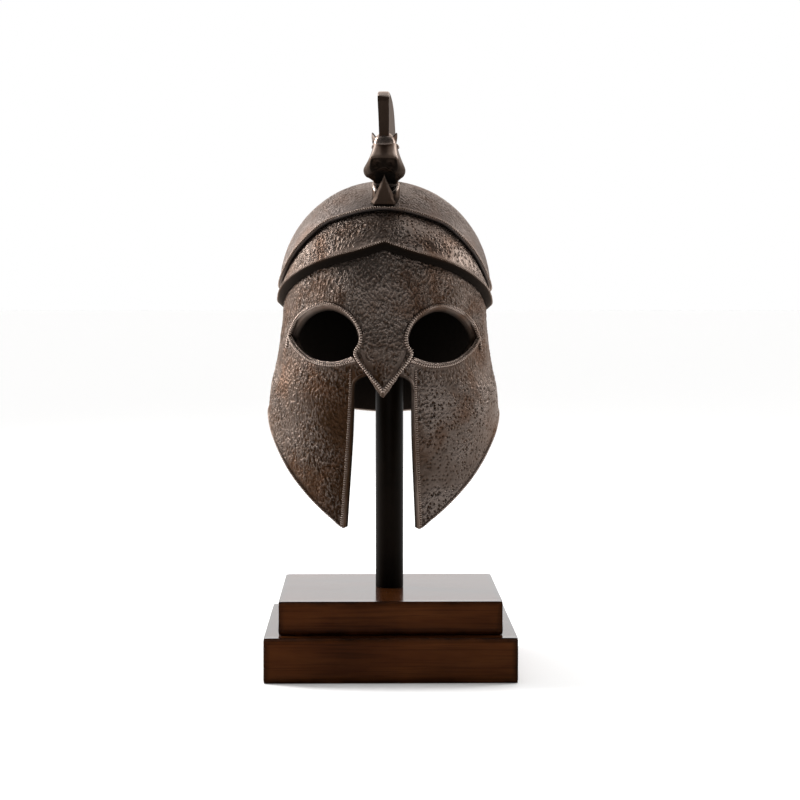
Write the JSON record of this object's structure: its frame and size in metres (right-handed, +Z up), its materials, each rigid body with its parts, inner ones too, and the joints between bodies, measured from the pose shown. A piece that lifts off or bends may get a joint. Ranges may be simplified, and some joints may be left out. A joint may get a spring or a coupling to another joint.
{
  "type": "greek bronze helmet on a wooden display stand",
  "caption": "Greek full-face helmet in hammered bronze with eye holes, nasal, cheek plates, beast head and blade crest, on a post over a stepped square wood stand.",
  "frame": {"origin": "middle of the stand's underside", "axes": "+Z up, -Y the way the face looks, +X to the viewer's right when facing it"},
  "size_m": [0.22, 0.2395, 0.5088],
  "materials": {
    "hammered_bronze": "dark patinated bronze, hammered, worn bright on the high spots",
    "polished_bronze": "dark bronze, smooth and polished by handling",
    "black_steel": "satin black",
    "dark_walnut": "dark stained hardwood, satin lacquer"
  },
  "bodies": {
    "root": {"base_lower": "dark_walnut", "base_upper": "dark_walnut", "post": "black_steel", "face_mask": "hammered_bronze", "brow_band": "hammered_bronze", "skull_cap": "hammered_bronze", "crest": "polished_bronze", "beast_head": "polished_bronze", "crest_spike": "polished_bronze"}
  },
  "joints": []
}
